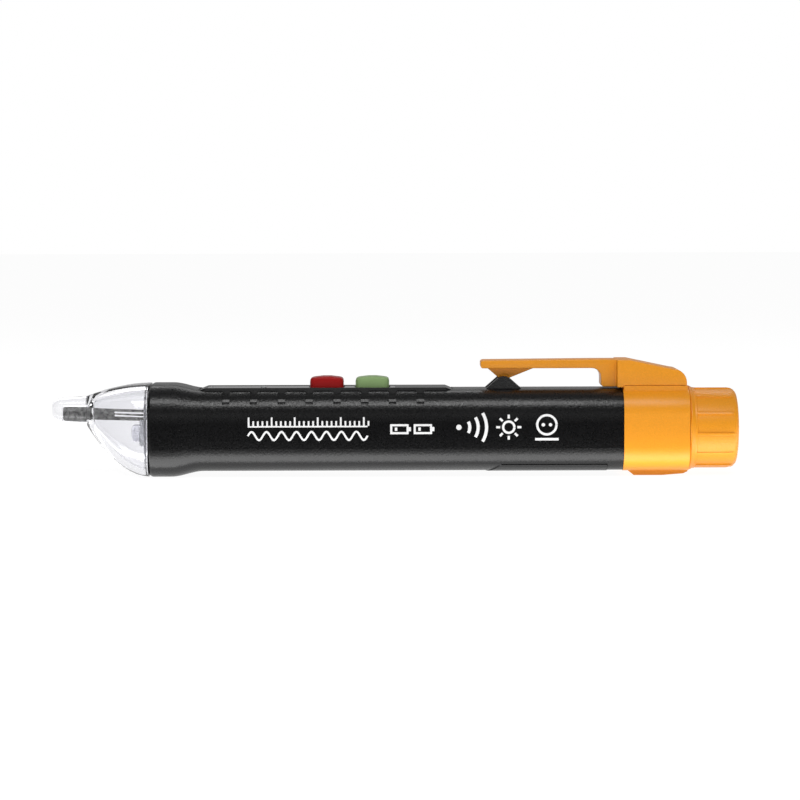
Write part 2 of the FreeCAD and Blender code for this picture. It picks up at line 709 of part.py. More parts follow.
def make_components():
    """Parts soldered to the circuit board."""
    top = "pcb_low + pcb_thick"
    keep(rod("buzzer", "buzzer_place", "0", "pcb_low - buzzer_high", "pcb_low",
             "buzzer_radius"), "buzzer")
    keep(box("controller_chip", "chip_front", "chip_rear", "chip_half", top,
             f"{top} + 1"), "controller_chip")
    leds = [box("indicator_led_1", "lens_place - 0.8", "lens_place + 0.8", "0.6", top,
                f"{top} + 0.9"),
            box("indicator_led_2", "pilot_place - 0.8", "pilot_place + 0.8", "0.6", top,
                f"{top} + 0.9")]
    keep(group("indicator_leds", leds), "indicator_leds")
    chips = []
    for column in range(5):
        for row, side in enumerate((-1, 1)):
            place = f"(smd_first + {column} * smd_pitch)"
            chips.append(box(f"smd_{column}_{row}", place, f"{place} + smd_long", "0.4",
                             top, f"{top} + 0.5", middle=f"{side} * smd_side"))
    keep(group("smd_parts", chips), "smd_parts")


# ------------------------------------------------------------------------- cells, contacts

def make_tray():
    """Trough under the cells, closed at the front by the wall that carries the contact."""
    body = new_body("battery_tray")
    prism(body, "YZ", "tray_front", "tray_rear", lambda sketch:
          round_square(sketch, "(body_radius - wall_thick - fit_gap)"))
    prism(body, "YZ", "tray_front + 1.4", "tray_rear", lambda sketch:
          circle(sketch, "0", "0", "tray_bore"), cut=True)
    across_pen(body, "axis_height", lambda sketch: rectangle(
        sketch, "tray_front + 1.4", "tray_rear", "tray_top", "axis_height"), cut=True)
    across_pen(body, "axis_height", lambda sketch: rectangle(
        sketch, "tray_front", "tray_front + 1.4", "pcb_low - 0.65", "axis_height"),
        cut=True)
    for place in ("screw_first", "screw_second"):
        prism(body, "XY", "-axis_height", "-cell_radius", lambda sketch:
              circle(sketch, place, "0", "screw_radius"), cut=True)
    return keep(body, "battery_tray")


def make_cells():
    nubs = []
    for number, name in enumerate(("front_cell", "rear_cell")):
        start = f"cell_front + {number} * cell_long"
        body = new_body(name)
        prism(body, "YZ", f"{start} + nub_long", f"{start} + cell_long", lambda sketch:
              circle(sketch, "0", "0", "cell_radius"))
        edges = (mm(f"{start} + nub_long"), mm(f"{start} + cell_long"))
        soften(body, "Fillet", "0.4", lambda middle, along:
               min(abs(middle.x - edge) for edge in edges) < 0.01)
        keep(body, name)
        nub = doc.addObject("Part::Cylinder", f"{name}_nub")
        nub.Placement.Rotation = FreeCAD.Rotation(FreeCAD.Vector(0, 1, 0), 90)
        bind(nub, "Radius", "nub_radius")
        bind(nub, "Height", "nub_long")
        bind(nub, "Placement.Base.x", start)
        nubs.append(nub)
    return keep(group("cell_terminals", nubs), "cell_terminals")


def make_contacts():
    front = "tray_front + 1.4"
    plate = box("front_plate", front, f"{front} + 0.3", "3", "-3", "5.1")
    tab = box("front_tab", f"{front} - 1.6", f"{front} + 0.3", "1.5", "5.1 + 0.3",
              "pcb_low")
    riser = box("front_riser", front, f"{front} + 0.3", "1.5", "5", "pcb_low")
    keep(join("front_contact", [plate, riser, tab]), "front_contact")
    keep(box("negative_strip", "-8", "neck_rear", "strip_half", "strip_low",
             "strip_low + strip_thick"), "negative_strip")
    ring = new_body("neck_contact")
    prism(ring, "YZ", "neck_rear", "neck_rear + 0.3", lambda sketch:
          circle(sketch, "0", "0", "neck_radius - 0.1"))
    prism(ring, "YZ", "neck_rear", "neck_rear + 0.3", lambda sketch:
          circle(sketch, "0", "0", "strip_low"), cut=True)
    keep(ring, "neck_contact")


# ------------------------------------------------------------------------- collar and neck

def thread(body, kind, first_radius, last_radius, start, name):
    """A trapezoid ridge carried round the axis; it starts at an X place on the +Z side."""
    sketch = new_sketch(body, "XZ")
    polygon(sketch, [(f"{start} - thread_root / 2", first_radius),
                     (f"{start} + thread_root / 2", first_radius),
                     (f"{start} + thread_tip / 2", last_radius),
                     (f"{start} - thread_tip / 2", last_radius)])
    helix = body.newObject("PartDesign::" + kind, name)
    helix.Profile = sketch
    helix.ReferenceAxis = (origin_plane(body, "X_Axis"), [""])
    helix.Mode = "pitch-height-angle"
    bind(helix, "Pitch", "thread_pitch")
    bind(helix, "Height", "thread_long")
    return helix


def make_collar():
    body = new_body("rear_collar")
    prism(body, "YZ", "barrel_rear", "collar_rear", lambda sketch:
          round_square(sketch, "collar_radius"))
    prism(body, "YZ", "collar_spigot", "barrel_rear", lambda sketch:
          round_square(sketch, "(body_radius - wall_thick - fit_gap)"))
    prism(body, "YZ", "collar_rear", "neck_rear", lambda sketch:
          circle(sketch, "0", "0", "neck_radius"))
    # boss under the clip and pad that the pen rests on
    across_pen(body, "boss_half", lambda sketch: rectangle(
        sketch, "barrel_rear + 0.2", "clip_rear", "core_half", "boss_top"))
    across_pen(body, "pad_half", lambda sketch: polygon(
        sketch, [("barrel_rear + 1.2", "-core_half"),
                 ("barrel_rear + 1.2", "1.25 - axis_height"),
                 ("barrel_rear + 2.8", "-axis_height"),
                 ("pad_flat_rear", "-axis_height"),
                 ("pad_slope_rear", "0.4 - axis_height"),
                 ("collar_rear", "0.9 - axis_height"),
                 ("collar_rear", "-core_half")]))
    prism(body, "YZ", "collar_spigot", "neck_rear", lambda sketch:
          circle(sketch, "0", "0", "neck_bore"), cut=True)
    prism(body, "YZ", "collar_spigot", "neck_rear", lambda sketch: rectangle(
        sketch, "-strip_half - fit_gap", "strip_half + fit_gap", "strip_low - 0.6",
        "strip_low + strip_thick + fit_gap"), cut=True)
    for place in ("peg_first", "peg_second"):
        prism(body, "XY", "boss_top - 2.2", "boss_top", lambda sketch:
              circle(sketch, place, "0", "peg_radius + 0.05"), cut=True)
    thread(body, "AdditiveHelix", "neck_radius - 0.3", "male_crest", "thread_start",
           "male_thread")
    return keep(body, "rear_collar")


def make_seal():
    ring = doc.addObject("Part::Torus", "cap_seal")
    ring.Placement.Rotation = FreeCAD.Rotation(FreeCAD.Vector(0, 1, 0), 90)
    bind(ring, "Radius1", "neck_radius + seal_radius")
    bind(ring, "Radius2", "seal_radius")
    bind(ring, "Placement.Base.x", "seal_place")
    return keep(ring, "cap_seal")


# -------------------------------------------------------------------------------- tail cap

def make_tail_cap():
    """Ribbed cap: a turned blank, the ribs round its grip, its bore and its thread."""
    def polar(radius, share):
        angle = f"(180 - rib_phase + {share} * rib_spread)"
        return f"({radius}) * cos({angle})", f"({radius}) * sin({angle})"

    body = new_body("tail_cap")
    dome = "tail_end - 0.35"
    turned(body, [("collar_rear + 0.1", "0"), ("collar_rear + 0.1", "ring_radius - 0.3"),
                  ("collar_rear + 0.4", "ring_radius"),
                  ("ring_rear - ring_slope", "ring_radius"), ("ring_rear", "grip_radius"),
                  ("rib_start", "grip_radius"),
                  ("rib_start + rib_high / 2", "grip_radius - rib_high"),
                  (dome, "grip_radius - rib_high"), ("tail_end", "3"),
                  ("tail_end", "0")])
    corners = (("grip_radius - 2 * rib_high", -1), ("grip_radius", -0.5),
               ("grip_radius", 0.5), ("grip_radius - 2 * rib_high", 1))
    rib = prism(body, "YZ", "rib_start - 0.2", "tail_end - 0.4", lambda sketch: polygon(
        sketch, [polar(radius, share) for radius, share in corners]))
    pattern = body.newObject("PartDesign::PolarPattern", "ribs")
    pattern.Originals = [rib]
    pattern.Axis = (origin_plane(body, "X_Axis"), [""])
    pattern.Angle = 360
    bind(pattern, "Occurrences", "rib_count")
    body.Tip = pattern
    # the end's corner is turned to a radius
    turned(body, rounded_corner(), cut=True)
    prism(body, "YZ", "collar_rear", "cap_floor", lambda sketch:
          circle(sketch, "0", "0", "cap_bore"), cut=True)
    thread(body, "AdditiveHelix", "cap_bore + 0.3", "female_crest",
           "thread_start + thread_pitch / 2", "female_thread")
    return keep(body, "tail_cap")


def rounded_corner():
    """Outline outside the cap's end radius, for turning the corner off."""
    arc = [(f"tail_end - grip_round * (1 - sin({degrees}))",
            f"grip_radius - grip_round * (1 - cos({degrees}))")
           for degrees in (0, 18, 36, 54, 72, 90)]
    return arc + [("tail_end + 1", "grip_radius - grip_round"),
                  ("tail_end + 1", "grip_radius + 1"),
                  ("tail_end - grip_round", "grip_radius + 1")]


def make_tail_contact():
    """Pressed cup in the cap: its rim meets the neck contact, its floor holds the spring."""
    body = new_body("tail_contact")
    rim = "neck_rear + 0.35"
    floor = "cap_floor - disc_thick"
    turned(body, [("cap_floor", "0"), ("cap_floor", "6.9"), (rim, "6.9"), (rim, "6.5"),
                  (floor, "6.5"), (floor, "0")])
    return keep(body, "tail_contact")


def make_spring():
    """Coil between the rear cell and the tail contact."""
    body = new_body("tail_spring")
    sketch = new_sketch(body, "XZ")
    first = "cell_front + 2 * cell_long + spring_wire + 0.05"
    circle(sketch, first, "spring_radius", "spring_wire")
    coil = body.newObject("PartDesign::AdditiveHelix", "coil")
    coil.Profile = sketch
    coil.ReferenceAxis = (origin_plane(body, "X_Axis"), [""])
    coil.Mode = "height-turns-angle"
    bind(coil, "Height", f"cap_floor - disc_thick - spring_wire - 0.05 - ({first})")
    coil.Turns = 3
    return keep(body, "tail_spring")


# ------------------------------------------------------------------------------------ clip

def make_clip_base():
    body = new_body("clip_base")
    arch = "(clip_front - clip_hinge)"

    def arch_point(degrees):
        return (f"clip_hinge + {arch} * sin({degrees})",
                f"clip_low - {arch} * (1 - cos({degrees}))")

    # root of the arm with the arch under it
    across_pen(body, "clip_half", lambda sketch: polygon(
        sketch, [("clip_hinge", "clip_top")]
        + [arch_point(degrees) for degrees in (0, 30, 60, 90)]
        + [("clip_front", "clip_foot + 0.6"), ("clip_front + 0.6", "clip_foot"),
           ("barrel_rear", "clip_foot"), ("barrel_rear", "clip_top")]))
    # wide block on the collar's boss
    across_pen(body, "boss_half", lambda sketch: polygon(
        sketch, [("block_start", "clip_foot"), ("block_start", "clip_top"),
                 ("block_top_rear", "clip_top"), ("slope_rear", "slope_low"),
                 ("brow_rear", "brow_low"), ("clip_rear", "block_rear_low"),
                 ("clip_rear", "boss_top"),
                 ("barrel_rear + 0.15", "boss_top"),
                 ("barrel_rear + 0.15", "clip_foot")]))
    for place in ("peg_first", "peg_second"):
        prism(body, "XY", "boss_top - 2", "boss_top + 0.2", lambda sketch:
              circle(sketch, place, "0", "peg_radius"))
    return keep(body, "clip_base")


def make_clip_arm():
    body = new_body("clip_arm")
    rear = "clip_hinge - clip_gap"
    across_pen(body, "clip_half", lambda sketch: polygon(
        sketch, [(rear, "clip_low"), (rear, "clip_top"),
                 ("clip_tip + 0.6", "clip_tip_top"), ("clip_tip", "clip_tip_top - 0.6"),
                 ("clip_tip", "clip_low + 0.6"), ("clip_tip + 0.6", "clip_low")]))
    across_pen(body, "wedge_half", lambda sketch: polygon(
        sketch, [("clip_tip + 1.3", "clip_low + 0.2"), ("clip_tip + 4.4", "wedge_low"),
                 ("clip_tip + 6.8", "wedge_low"), ("clip_tip + 13.7", "clip_low + 0.2")]))
    high = mm("clip_tip_top")
    soften(body, "Chamfer", "0.7", lambda middle, along:
           middle.z > high - 0.1 and abs(along.x) > 0.9)
    return keep(body, "clip_arm")


# ------------------------------------------------------------------- build, check and write

def build():
    make_nose()
    make_barrel()
    make_belly_cover()
    make_cover_screws()
    make_top_panel()
    make_panel_label()
    make_lenses()
    make_button("red_button", "power_place")
    make_button("green_button", "light_place")
    make_switch("power", "power_place")
    make_switch("light", "light_place")
    make_antenna()
    make_torch()
    make_led_holder()
    make_boards()
    make_components()
    make_tray()
    make_cells()
    make_contacts()
    make_collar()
    make_seal()
    make_tail_cap()
    make_tail_contact()
    make_spring()
    make_clip_base()
    make_clip_arm()
    doc.recompute()


def check():
    """Stop before anything is written if an object failed or a sub-part isn't solid."""
    for thing in doc.Objects:
        if "Invalid" in thing.State or "Error" in thing.State:
            raise RuntimeError(f"{thing.Name} failed: {thing.State}")
    for part in sub_parts:
        shape = part.Shape
        if shape.isNull() or not shape.isValid() or not shape.Solids:
            raise RuntimeError(f"{part.Label} is not a valid solid")


def write():
    os.makedirs("parts", exist_ok=True)
    for part in sub_parts:
        part.Shape.exportStep(os.path.join("parts", part.Label + ".step"))
        print(f"{part.Label}: {len(part.Shape.Solids)} solid, {part.Shape.Volume:.1f} mm3")


build()
check()
write()
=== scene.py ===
import json
import math

import bmesh
import bpy
from mathutils import Matrix, Vector


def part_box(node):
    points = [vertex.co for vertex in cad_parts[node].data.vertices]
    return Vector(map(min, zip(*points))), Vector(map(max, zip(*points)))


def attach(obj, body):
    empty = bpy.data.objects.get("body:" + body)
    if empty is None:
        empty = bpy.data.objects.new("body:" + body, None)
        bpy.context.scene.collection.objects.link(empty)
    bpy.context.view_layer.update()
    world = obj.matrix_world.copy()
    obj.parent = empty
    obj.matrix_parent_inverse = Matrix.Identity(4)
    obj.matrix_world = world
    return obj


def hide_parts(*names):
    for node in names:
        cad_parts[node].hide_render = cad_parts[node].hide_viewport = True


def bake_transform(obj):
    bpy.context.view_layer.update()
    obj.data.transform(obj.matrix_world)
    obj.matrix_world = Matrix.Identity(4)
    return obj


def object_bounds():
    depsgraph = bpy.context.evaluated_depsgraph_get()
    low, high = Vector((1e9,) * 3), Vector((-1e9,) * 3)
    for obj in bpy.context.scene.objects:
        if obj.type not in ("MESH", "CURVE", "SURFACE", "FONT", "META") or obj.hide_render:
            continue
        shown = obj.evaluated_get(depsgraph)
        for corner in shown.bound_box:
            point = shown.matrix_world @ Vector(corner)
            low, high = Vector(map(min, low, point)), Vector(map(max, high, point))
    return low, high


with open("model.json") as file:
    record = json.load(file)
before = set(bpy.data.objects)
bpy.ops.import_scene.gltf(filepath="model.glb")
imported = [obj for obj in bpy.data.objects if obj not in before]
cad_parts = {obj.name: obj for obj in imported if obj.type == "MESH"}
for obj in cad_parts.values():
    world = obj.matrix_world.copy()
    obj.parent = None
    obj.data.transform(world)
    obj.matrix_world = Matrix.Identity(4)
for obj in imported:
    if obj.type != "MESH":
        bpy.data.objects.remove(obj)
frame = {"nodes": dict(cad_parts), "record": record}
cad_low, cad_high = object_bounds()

# A pen-shaped non contact voltage tester lying on a pale table. The CAD frame is in
# metres with +X along the pen (nose at -X) and +Z up. The shapes below are in
# millimetres from the pen's axis, and place() turns them into the frame's metres.
# The studio (stage, lights and camera) is in the frame's metres throughout.

MM = 0.001
cap_low, cap_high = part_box("tail_cap")
AXIS = (cap_low.z + cap_high.z) / 2

BODY_CORE = 4.1        # half side of the square that the housing's section rounds out
QUARTER = 90
WHITE = (1, 1, 1, 1)


def place(x, y, z):
    """A point of the frame from millimetres about the pen's axis."""
    return Vector((x * MM, y * MM, z * MM + AXIS))


def millimetres(node):
    """A CAD node's lowest and highest corner, in millimetres from the pen's axis."""
    low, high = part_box(node)
    lift = Vector((0, 0, AXIS))
    return (low - lift) / MM, (high - lift) / MM


# ------------------------------------------------------------------------ node materials

class Look:
    """A Principled material with short calls for the nodes that most surfaces share."""

    def __init__(self, name, colour, roughness, **sockets):
        self.material = bpy.data.materials.new(name)
        self.material.use_nodes = True
        self.tree = self.material.node_tree
        self.shader = self.tree.nodes["Principled BSDF"]
        self.shader.inputs["Base Color"].default_value = (*colour, 1)
        self.shader.inputs["Roughness"].default_value = roughness
        for socket, value in sockets.items():
            self.shader.inputs[socket.replace("_", " ")].default_value = value
        self.colour = colour
        self.coordinates = self.node("ShaderNodeTexCoord").outputs["Object"]

    def node(self, kind, **values):
        made = self.tree.nodes.new(kind)
        for name, value in values.items():
            setattr(made, name, value)
        return made

    def link(self, source, target):
        self.tree.links.new(source, target)

    def noise(self, size, detail=3.0, stretch=(1, 1, 1)):
        """Noise whose blobs are about size millimetres across."""
        scaled = self.node("ShaderNodeMapping")
        scaled.inputs["Scale"].default_value = [1 / (size * MM) * way for way in stretch]
        self.link(self.coordinates, scaled.inputs["Vector"])
        noise = self.node("ShaderNodeTexNoise")
        noise.inputs["Scale"].default_value = 1.0
        noise.inputs["Detail"].default_value = detail
        self.link(scaled.outputs["Vector"], noise.inputs["Vector"])
        return noise.outputs["Fac"]

    def spread(self, value, low, high):
        """Map the middle of a noise value's range to a range."""
        change = self.node("ShaderNodeMapRange")
        for name, number in (("From Min", 0.3), ("From Max", 0.7),
                             ("To Min", low), ("To Max", high)):
            change.inputs[name].default_value = number
        self.link(value, change.inputs["Value"])
        return change.outputs["Result"]

    def blend_colours(self, factor, first, second):
        """Mix two base colours by a value from 0 to 1."""
        mix = self.node("ShaderNodeMix", data_type="RGBA")
        share, start, end = (mix.inputs[index] for index in (0, 6, 7))
        start.default_value = (*first, 1)
        end.default_value = (*second, 1)
        self.link(factor, share)
        self.link(mix.outputs[2], self.shader.inputs["Base Color"])

    def vary_colour(self, value, low, high):
        """Shade the base colour between two strengths of itself."""
        self.blend_colours(self.spread(value, 0, 1), [part * low for part in self.colour],
                           [min(1, part * high) for part in self.colour])

    def vary_roughness(self, value, low, high):
        """Let the gloss come and go with noise."""
        self.link(self.spread(value, low, high), self.shader.inputs["Roughness"])

    def bump(self, value, height):
        """Raise the surface by noise; height is in millimetres."""
        bump = self.node("ShaderNodeBump")
        bump.inputs["Strength"].default_value = 1.0
        bump.inputs["Distance"].default_value = height * MM
        self.link(value, bump.inputs["Height"])
        self.link(bump.outputs["Normal"], self.shader.inputs["Normal"])


def moulded(name, colour, roughness, grain=0.32, height=0.014, speckle=0.07, **sockets):
    """Injection-moulded plastic: fine spark-eroded grain that also speckles the colour."""
    look = Look(name, colour, roughness, **sockets)
    fine = look.noise(grain, detail=2.0)
    look.vary_colour(look.noise(1.1 * grain, detail=3.0), 1 - speckle, 1 + speckle)
    look.vary_roughness(fine, roughness - 0.05, roughness + 0.07)
    look.bump(fine, height)
    return look.material


def glossy(name, colour, roughness, **sockets):
    """Polished or printed plastic with faint handling marks."""
    look = Look(name, colour, roughness, **sockets)
    marks = look.noise(3.0, detail=5.0, stretch=(0.3, 1, 1))
    look.vary_colour(marks, 0.96, 1.04)
    look.vary_roughness(marks, roughness, roughness + 0.08)
    return look.material


def metal(name, colour, roughness, stretch=(0.15, 1, 1)):
    """Plated metal with rolling marks along X."""
    look = Look(name, colour, roughness, Metallic=1.0)
    marks = look.noise(0.35, detail=4.0, stretch=stretch)
    look.vary_colour(look.noise(0.8, detail=4.0), 0.2, 1.75)
    look.vary_roughness(marks, roughness - 0.08, roughness + 0.12)
    look.bump(marks, 0.01)
    return look.material


def clear_plastic():
    """Clear polycarbonate with painted shade: greyer where the surface is seen at a grazing
    angle, which darkens its outlines.
    """
    clear, painted_edge_shade = (0.955, 0.955, 0.975), (0.5, 0.5, 0.54)
    look = Look("clear_polycarbonate", clear, 0.03, IOR=1.5, Transmission_Weight=1.0)
    # painted shade at the outlines: the base colour turns grey towards grazing angles
    facing = look.node("ShaderNodeLayerWeight")
    facing.inputs["Blend"].default_value = 0.25
    look.blend_colours(facing.outputs["Facing"], clear, painted_edge_shade)
    look.bump(look.noise(5.0, detail=2.0), 0.01)
    look.vary_roughness(look.noise(1.2), 0.015, 0.05)
    return look.material


def frosted_plastic():
    """Milky plastic that lets some light through."""
    look = Look("frosted_plastic", (0.86, 0.87, 0.9), 0.35, IOR=1.45,
                Transmission_Weight=0.55)
    look.bump(look.noise(0.4), 0.01)
    return look.material


def circuit_board():
    """Solder mask with copper tracks under it as a broken grid of lighter lines."""
    mask = (0.012, 0.12, 0.05)
    look = Look("circuit_board", mask, 0.32)
    brick = look.node("ShaderNodeTexBrick")
    for name, value in (("Scale", 900.0), ("Mortar Size", 0.03), ("Color1", (*mask, 1)),
                        ("Color2", (0.016, 0.15, 0.06, 1)),
                        ("Mortar", (0.05, 0.3, 0.13, 1))):
        brick.inputs[name].default_value = value
    look.link(look.coordinates, brick.inputs["Vector"])
    look.link(brick.outputs["Color"], look.shader.inputs["Base Color"])
    look.bump(brick.outputs["Fac"], 0.03)
    return look.material


BLACK = (0.0025, 0.0025, 0.0029)
ORANGE = (0.88, 0.33, 0.01)
KEY_FINISH = {"roughness": 0.34, "grain": 0.2, "Specular_IOR_Level": 0.2}

# a look for each material slot of the record, and one for the printed marks
LOOKS = {
    "black_housing": moulded("black_abs", BLACK, 0.3, grain=0.45, height=0.055, speckle=0.3),
    "panel_black": moulded("black_abs_panel", BLACK, 0.3),
    "label_gloss": glossy("label_overlay", (0.012, 0.012, 0.014), 0.06),
    "orange_housing": moulded("orange_abs", ORANGE, 0.36, height=0.05, speckle=0.045),
    "red_key": moulded("red_key", (0.37, 0.009, 0.009), **KEY_FINISH),
    "green_key": moulded("green_key", (0.28, 0.42, 0.18), **KEY_FINISH),
    "clear_nose": clear_plastic(),
    "holder_white": frosted_plastic(),
    "lens_clear": glossy("lens", (0.8, 0.82, 0.82), 0.1, Transmission_Weight=0.3),
    "antenna_metal": metal("antenna_plate", (0.16, 0.16, 0.155), 0.5, stretch=(1, 1, 1)),
    "nickel_strip": metal("nickel_plate", (0.55, 0.52, 0.46), 0.3),
    "steel": metal("zinc_steel", (0.5, 0.5, 0.52), 0.35),
    "spring_steel": metal("spring_wire", (0.5, 0.5, 0.5), 0.28),
    "circuit_board": circuit_board(),
    "led_epoxy": glossy("led_epoxy", (0.9, 0.9, 0.97), 0.12, IOR=1.45,
                        Transmission_Weight=0.35),
    "led_white": glossy("led_package", (0.8, 0.8, 0.74), 0.3),
    "chip_black": moulded("chip_package", (0.02, 0.02, 0.02), 0.5, grain=0.1),
    "chip_tan": moulded("chip_parts", (0.4, 0.3, 0.18), 0.4, grain=0.1),
    "tray_grey": moulded("tray_plastic", (0.03, 0.03, 0.033), 0.5),
    "cell_jacket": glossy("cell_jacket", (0.03, 0.12, 0.22), 0.2, Metallic=0.6),
    "ink": glossy("print_white", (0.88, 0.88, 0.88), 0.35),
    "seal_rubber": moulded("seal_rubber", (0.012, 0.012, 0.012), 0.6, grain=0.1),
}


EDGE_WIDTHS = {"barrel": 0.06, "top_panel": 0.1, "rear_collar": 0.2, "tail_cap": 0.12,
               "belly_cover": 0.1, "antenna_plate": 0.2}


def dress_frame():
    """Give every CAD node the look of its slot, and soften the edges that show."""
    for row in frame["record"]["subparts"]:
        node = frame["nodes"][row["node"]]
        node.data.materials.clear()
        node.data.materials.append(LOOKS[row["material_slot"]])
    for name, width in EDGE_WIDTHS.items():
        soften(frame["nodes"][name], width)


def soften(thing, width, segments=2, angle=28):
    """Weld split vertices and round the edges with a narrow bevel."""
    weld = thing.modifiers.new("weld", "WELD")
    weld.merge_threshold = 0.002 * MM
    bevel = thing.modifiers.new("bevel", "BEVEL")
    bevel.width = width * MM
    bevel.segments = segments
    bevel.limit_method = "ANGLE"
    bevel.angle_limit = math.radians(angle)


# ------------------------------------------------------------------------------ mesh tools

def add_to_scene(name, data):
    """A new object that shows the given data."""
    thing = bpy.data.objects.new(name, data)
    bpy.context.scene.collection.objects.link(thing)
    return thing


def mesh_object(name, vertices, faces, material, smooth=True):
    """A new mesh from its points and faces, in one material."""
    mesh = bpy.data.meshes.new(name)
    mesh.from_pydata(vertices, [], faces)
    mesh.update()
    for face in mesh.polygons:
        face.use_smooth = smooth
    mesh.materials.append(material)
    return add_to_scene(name, mesh)


def mixed(first, last, share):
    """The value a share of the way from first to last."""
    return first + (last - first) * share


def rounded_ring(x, centre, half_wide, half_high, radius, per_corner=10, per_side=3):
    """Points round a rounded rectangle in the plane at X."""
    points = []
    nearly = 0.999         # keeps a little straight side, so that no two points meet
    radius = min(radius, half_wide * nearly, half_high * nearly)
    wide, high = half_wide - radius, half_high - radius
    corners = [(wide, high), (-wide, high), (-wide, -high), (wide, -high)]

    def corner_point(index, degrees):
        across, up = corners[index % len(corners)]
        angle = math.radians(degrees)
        return (across + radius * math.cos(angle), centre + up + radius * math.sin(angle))

    for index in range(len(corners)):
        start, finish = QUARTER * index, QUARTER * (index + 1)
        points += [corner_point(index, start + QUARTER * step / per_corner)
                   for step in range(per_corner + 1)]
        last, following = points[-1], corner_point(index + 1, finish)
        points += [(mixed(last[0], following[0], step / per_side),
                    mixed(last[1], following[1], step / per_side))
                   for step in range(1, per_side)]
    return [place(x, across, up) for across, up in points]


def skin(name, rings, material):
    """A closed mesh over rings with the same number of points each."""
    count = len(rings[0])
    vertices = [point for ring in rings for point in ring]
    faces = []
    for ring in range(len(rings) - 1):
        for index in range(count):
            following = (index + 1) % count
            faces.append((ring * count + index, ring * count + following,
                          (ring + 1) * count + following, (ring + 1) * count + index))
    faces.append(tuple(reversed(range(count))))
    faces.append(tuple(range((len(rings) - 1) * count, len(rings) * count)))
    thing = mesh_object(name, vertices, faces, material)
    outward(thing)
    return thing


def outward(thing):
    """Point every face's normal out of the solid."""
    work = bmesh.new()
    work.from_mesh(thing.data)
    bmesh.ops.recalc_face_normals(work, faces=work.faces)
    work.to_mesh(thing.data)
    work.free()


def bake_modifiers(thing):
    """Replace an object's mesh by what its modifiers make of it."""
    graph = bpy.context.evaluated_depsgraph_get()
    made = bpy.data.meshes.new_from_object(thing.evaluated_get(graph))
    thing.modifiers.clear()
    thing.data = made


# ------------------------------------------------------------------------------- nose cone

TONGUE_LONG = 8.55
TONGUE_MIDDLE = 4.85
TONGUE_TIP = (2.3, 2.6)            # half width and half height
TONGUE_ROOT = (3.0, 3.27)
NECK_HALF_WIDE, RIM_HALF_WIDE = 3.6, 11.13
NECK_TOP, RIM_TOP = 8.24, 11.1
NECK_BOTTOM, RIM_BOTTOM = 0.82, -11.13
CONE_ROUNDING = 0.63               # corner radius as a share of the half size
CONE_WALL = 1.5
SLOT_MIDDLE = 4.13

# shares of the way from neck to rim where the cone has a ring, outside and in its hollow
CONE_STATIONS = (0.0, 0.015, 0.045, 0.09, 0.15, 0.22, 0.3, 0.4, 0.5, 0.6, 0.7, 0.8, 0.9,
                 0.975, 0.99)
HOLLOW_STATIONS = (0.93, 0.86, 0.78, 0.68, 0.58, 0.48, 0.38, 0.28, 0.2, 0.13, 0.08)

# rear face and spigot, outside then inside: distance behind the rim and half size
SPIGOT = ((0, 10.4), (0, 9.48), (0.05, 9.43), (2.65, 9.43), (2.78, 9.3), (2.78, 8.4),
          (2.65, 8.27), (0.02, 8.27), (-0.15, 8.35), (-0.2, 9.2))

# slot for the antenna plate: distance behind the neck, half width and half height
ANTENNA_SLOT = ((1.25, 0.9, 1.85), (1.0, 0.82, 1.75), (-5.95, 0.8, 1.72),
                (-6.2, 0.7, 1.6), (-6.28, 0.4, 1.2))


def ease_out(share, power):
    """Rises from 0 to 1, ever more slowly."""
    return 1 - (1 - share) ** power


def tongue_rings(tip, neck):
    """The tongue's outside, from its rounded tip to the fillet at the neck."""
    def ring(x, size=1.0, grow=0.0):
        share = (x - tip) / (neck - tip)
        wide, tall = (mixed(first, last, share) * size + grow
                      for first, last in zip(TONGUE_TIP, TONGUE_ROOT))
        return rounded_ring(x, TONGUE_MIDDLE, wide, tall, 0.8 * wide)

    tip_long, tip_narrowing = 2.2, 0.55
    rings = []
    for degrees in (90, 80, 68, 56, 44, 33, 22, 11, 0):
        turn = math.radians(degrees)
        rings.append(ring(tip + tip_long * (1 - math.sin(turn)),
                          1 - tip_narrowing * (1 - math.cos(turn))))
    rings += [ring(x) for x in (tip + 3.5, tip + 5.0, tip + 6.5, neck - 0.7, neck - 0.25)]
    return rings + [ring(neck - 0.08, grow=0.05), ring(neck, grow=0.2)]


def cone_ring(neck, rim, share, inset=0.0, shift=0.0):
    """The cone's section a share of the way from the neck to the rim."""
    x = mixed(neck, rim, share) + shift
    top = mixed(NECK_TOP, RIM_TOP, ease_out(share, 2.0))
    bottom = mixed(NECK_BOTTOM, RIM_BOTTOM, ease_out(share, 1.88))
    wide = mixed(NECK_HALF_WIDE, RIM_HALF_WIDE, ease_out(share, 1.9)) - inset
    tall = (top - bottom) / 2 - inset
    return rounded_ring(x, (top + bottom) / 2, wide, tall, CONE_ROUNDING * min(wide, tall))


def make_nose():
    """Clear nose: one closed shell with the tongue, the cone and the spigot."""
    tip = millimetres("nose_cone")[0].x
    rim = millimetres("barrel")[0].x
    neck = tip + TONGUE_LONG
    rings = tongue_rings(tip, neck)
    rings += [cone_ring(neck, rim, share) for share in CONE_STATIONS]
    rings.append(cone_ring(neck, rim, 1.0, inset=0.12))
    rings += [rounded_ring(rim + behind, 0, half, half, half - BODY_CORE)
              for behind, half in SPIGOT]
    # the hollow is shifted back towards the neck, where the wall is thicker
    rings.append(cone_ring(neck, rim, 0.985, inset=CONE_WALL, shift=-0.05))
    rings += [cone_ring(neck, rim, share, inset=CONE_WALL, shift=0.9 * (1 - share))
              for share in HOLLOW_STATIONS]
    rings += [rounded_ring(neck + behind, SLOT_MIDDLE, wide, tall, 0.6 * wide)
              for behind, wide, tall in ANTENNA_SLOT]
    nose = skin("clear_nose", rings, LOOKS["clear_nose"])
    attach(nose, "housing")
    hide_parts("nose_cone")


# ------------------------------------------------------------------------------------ keys

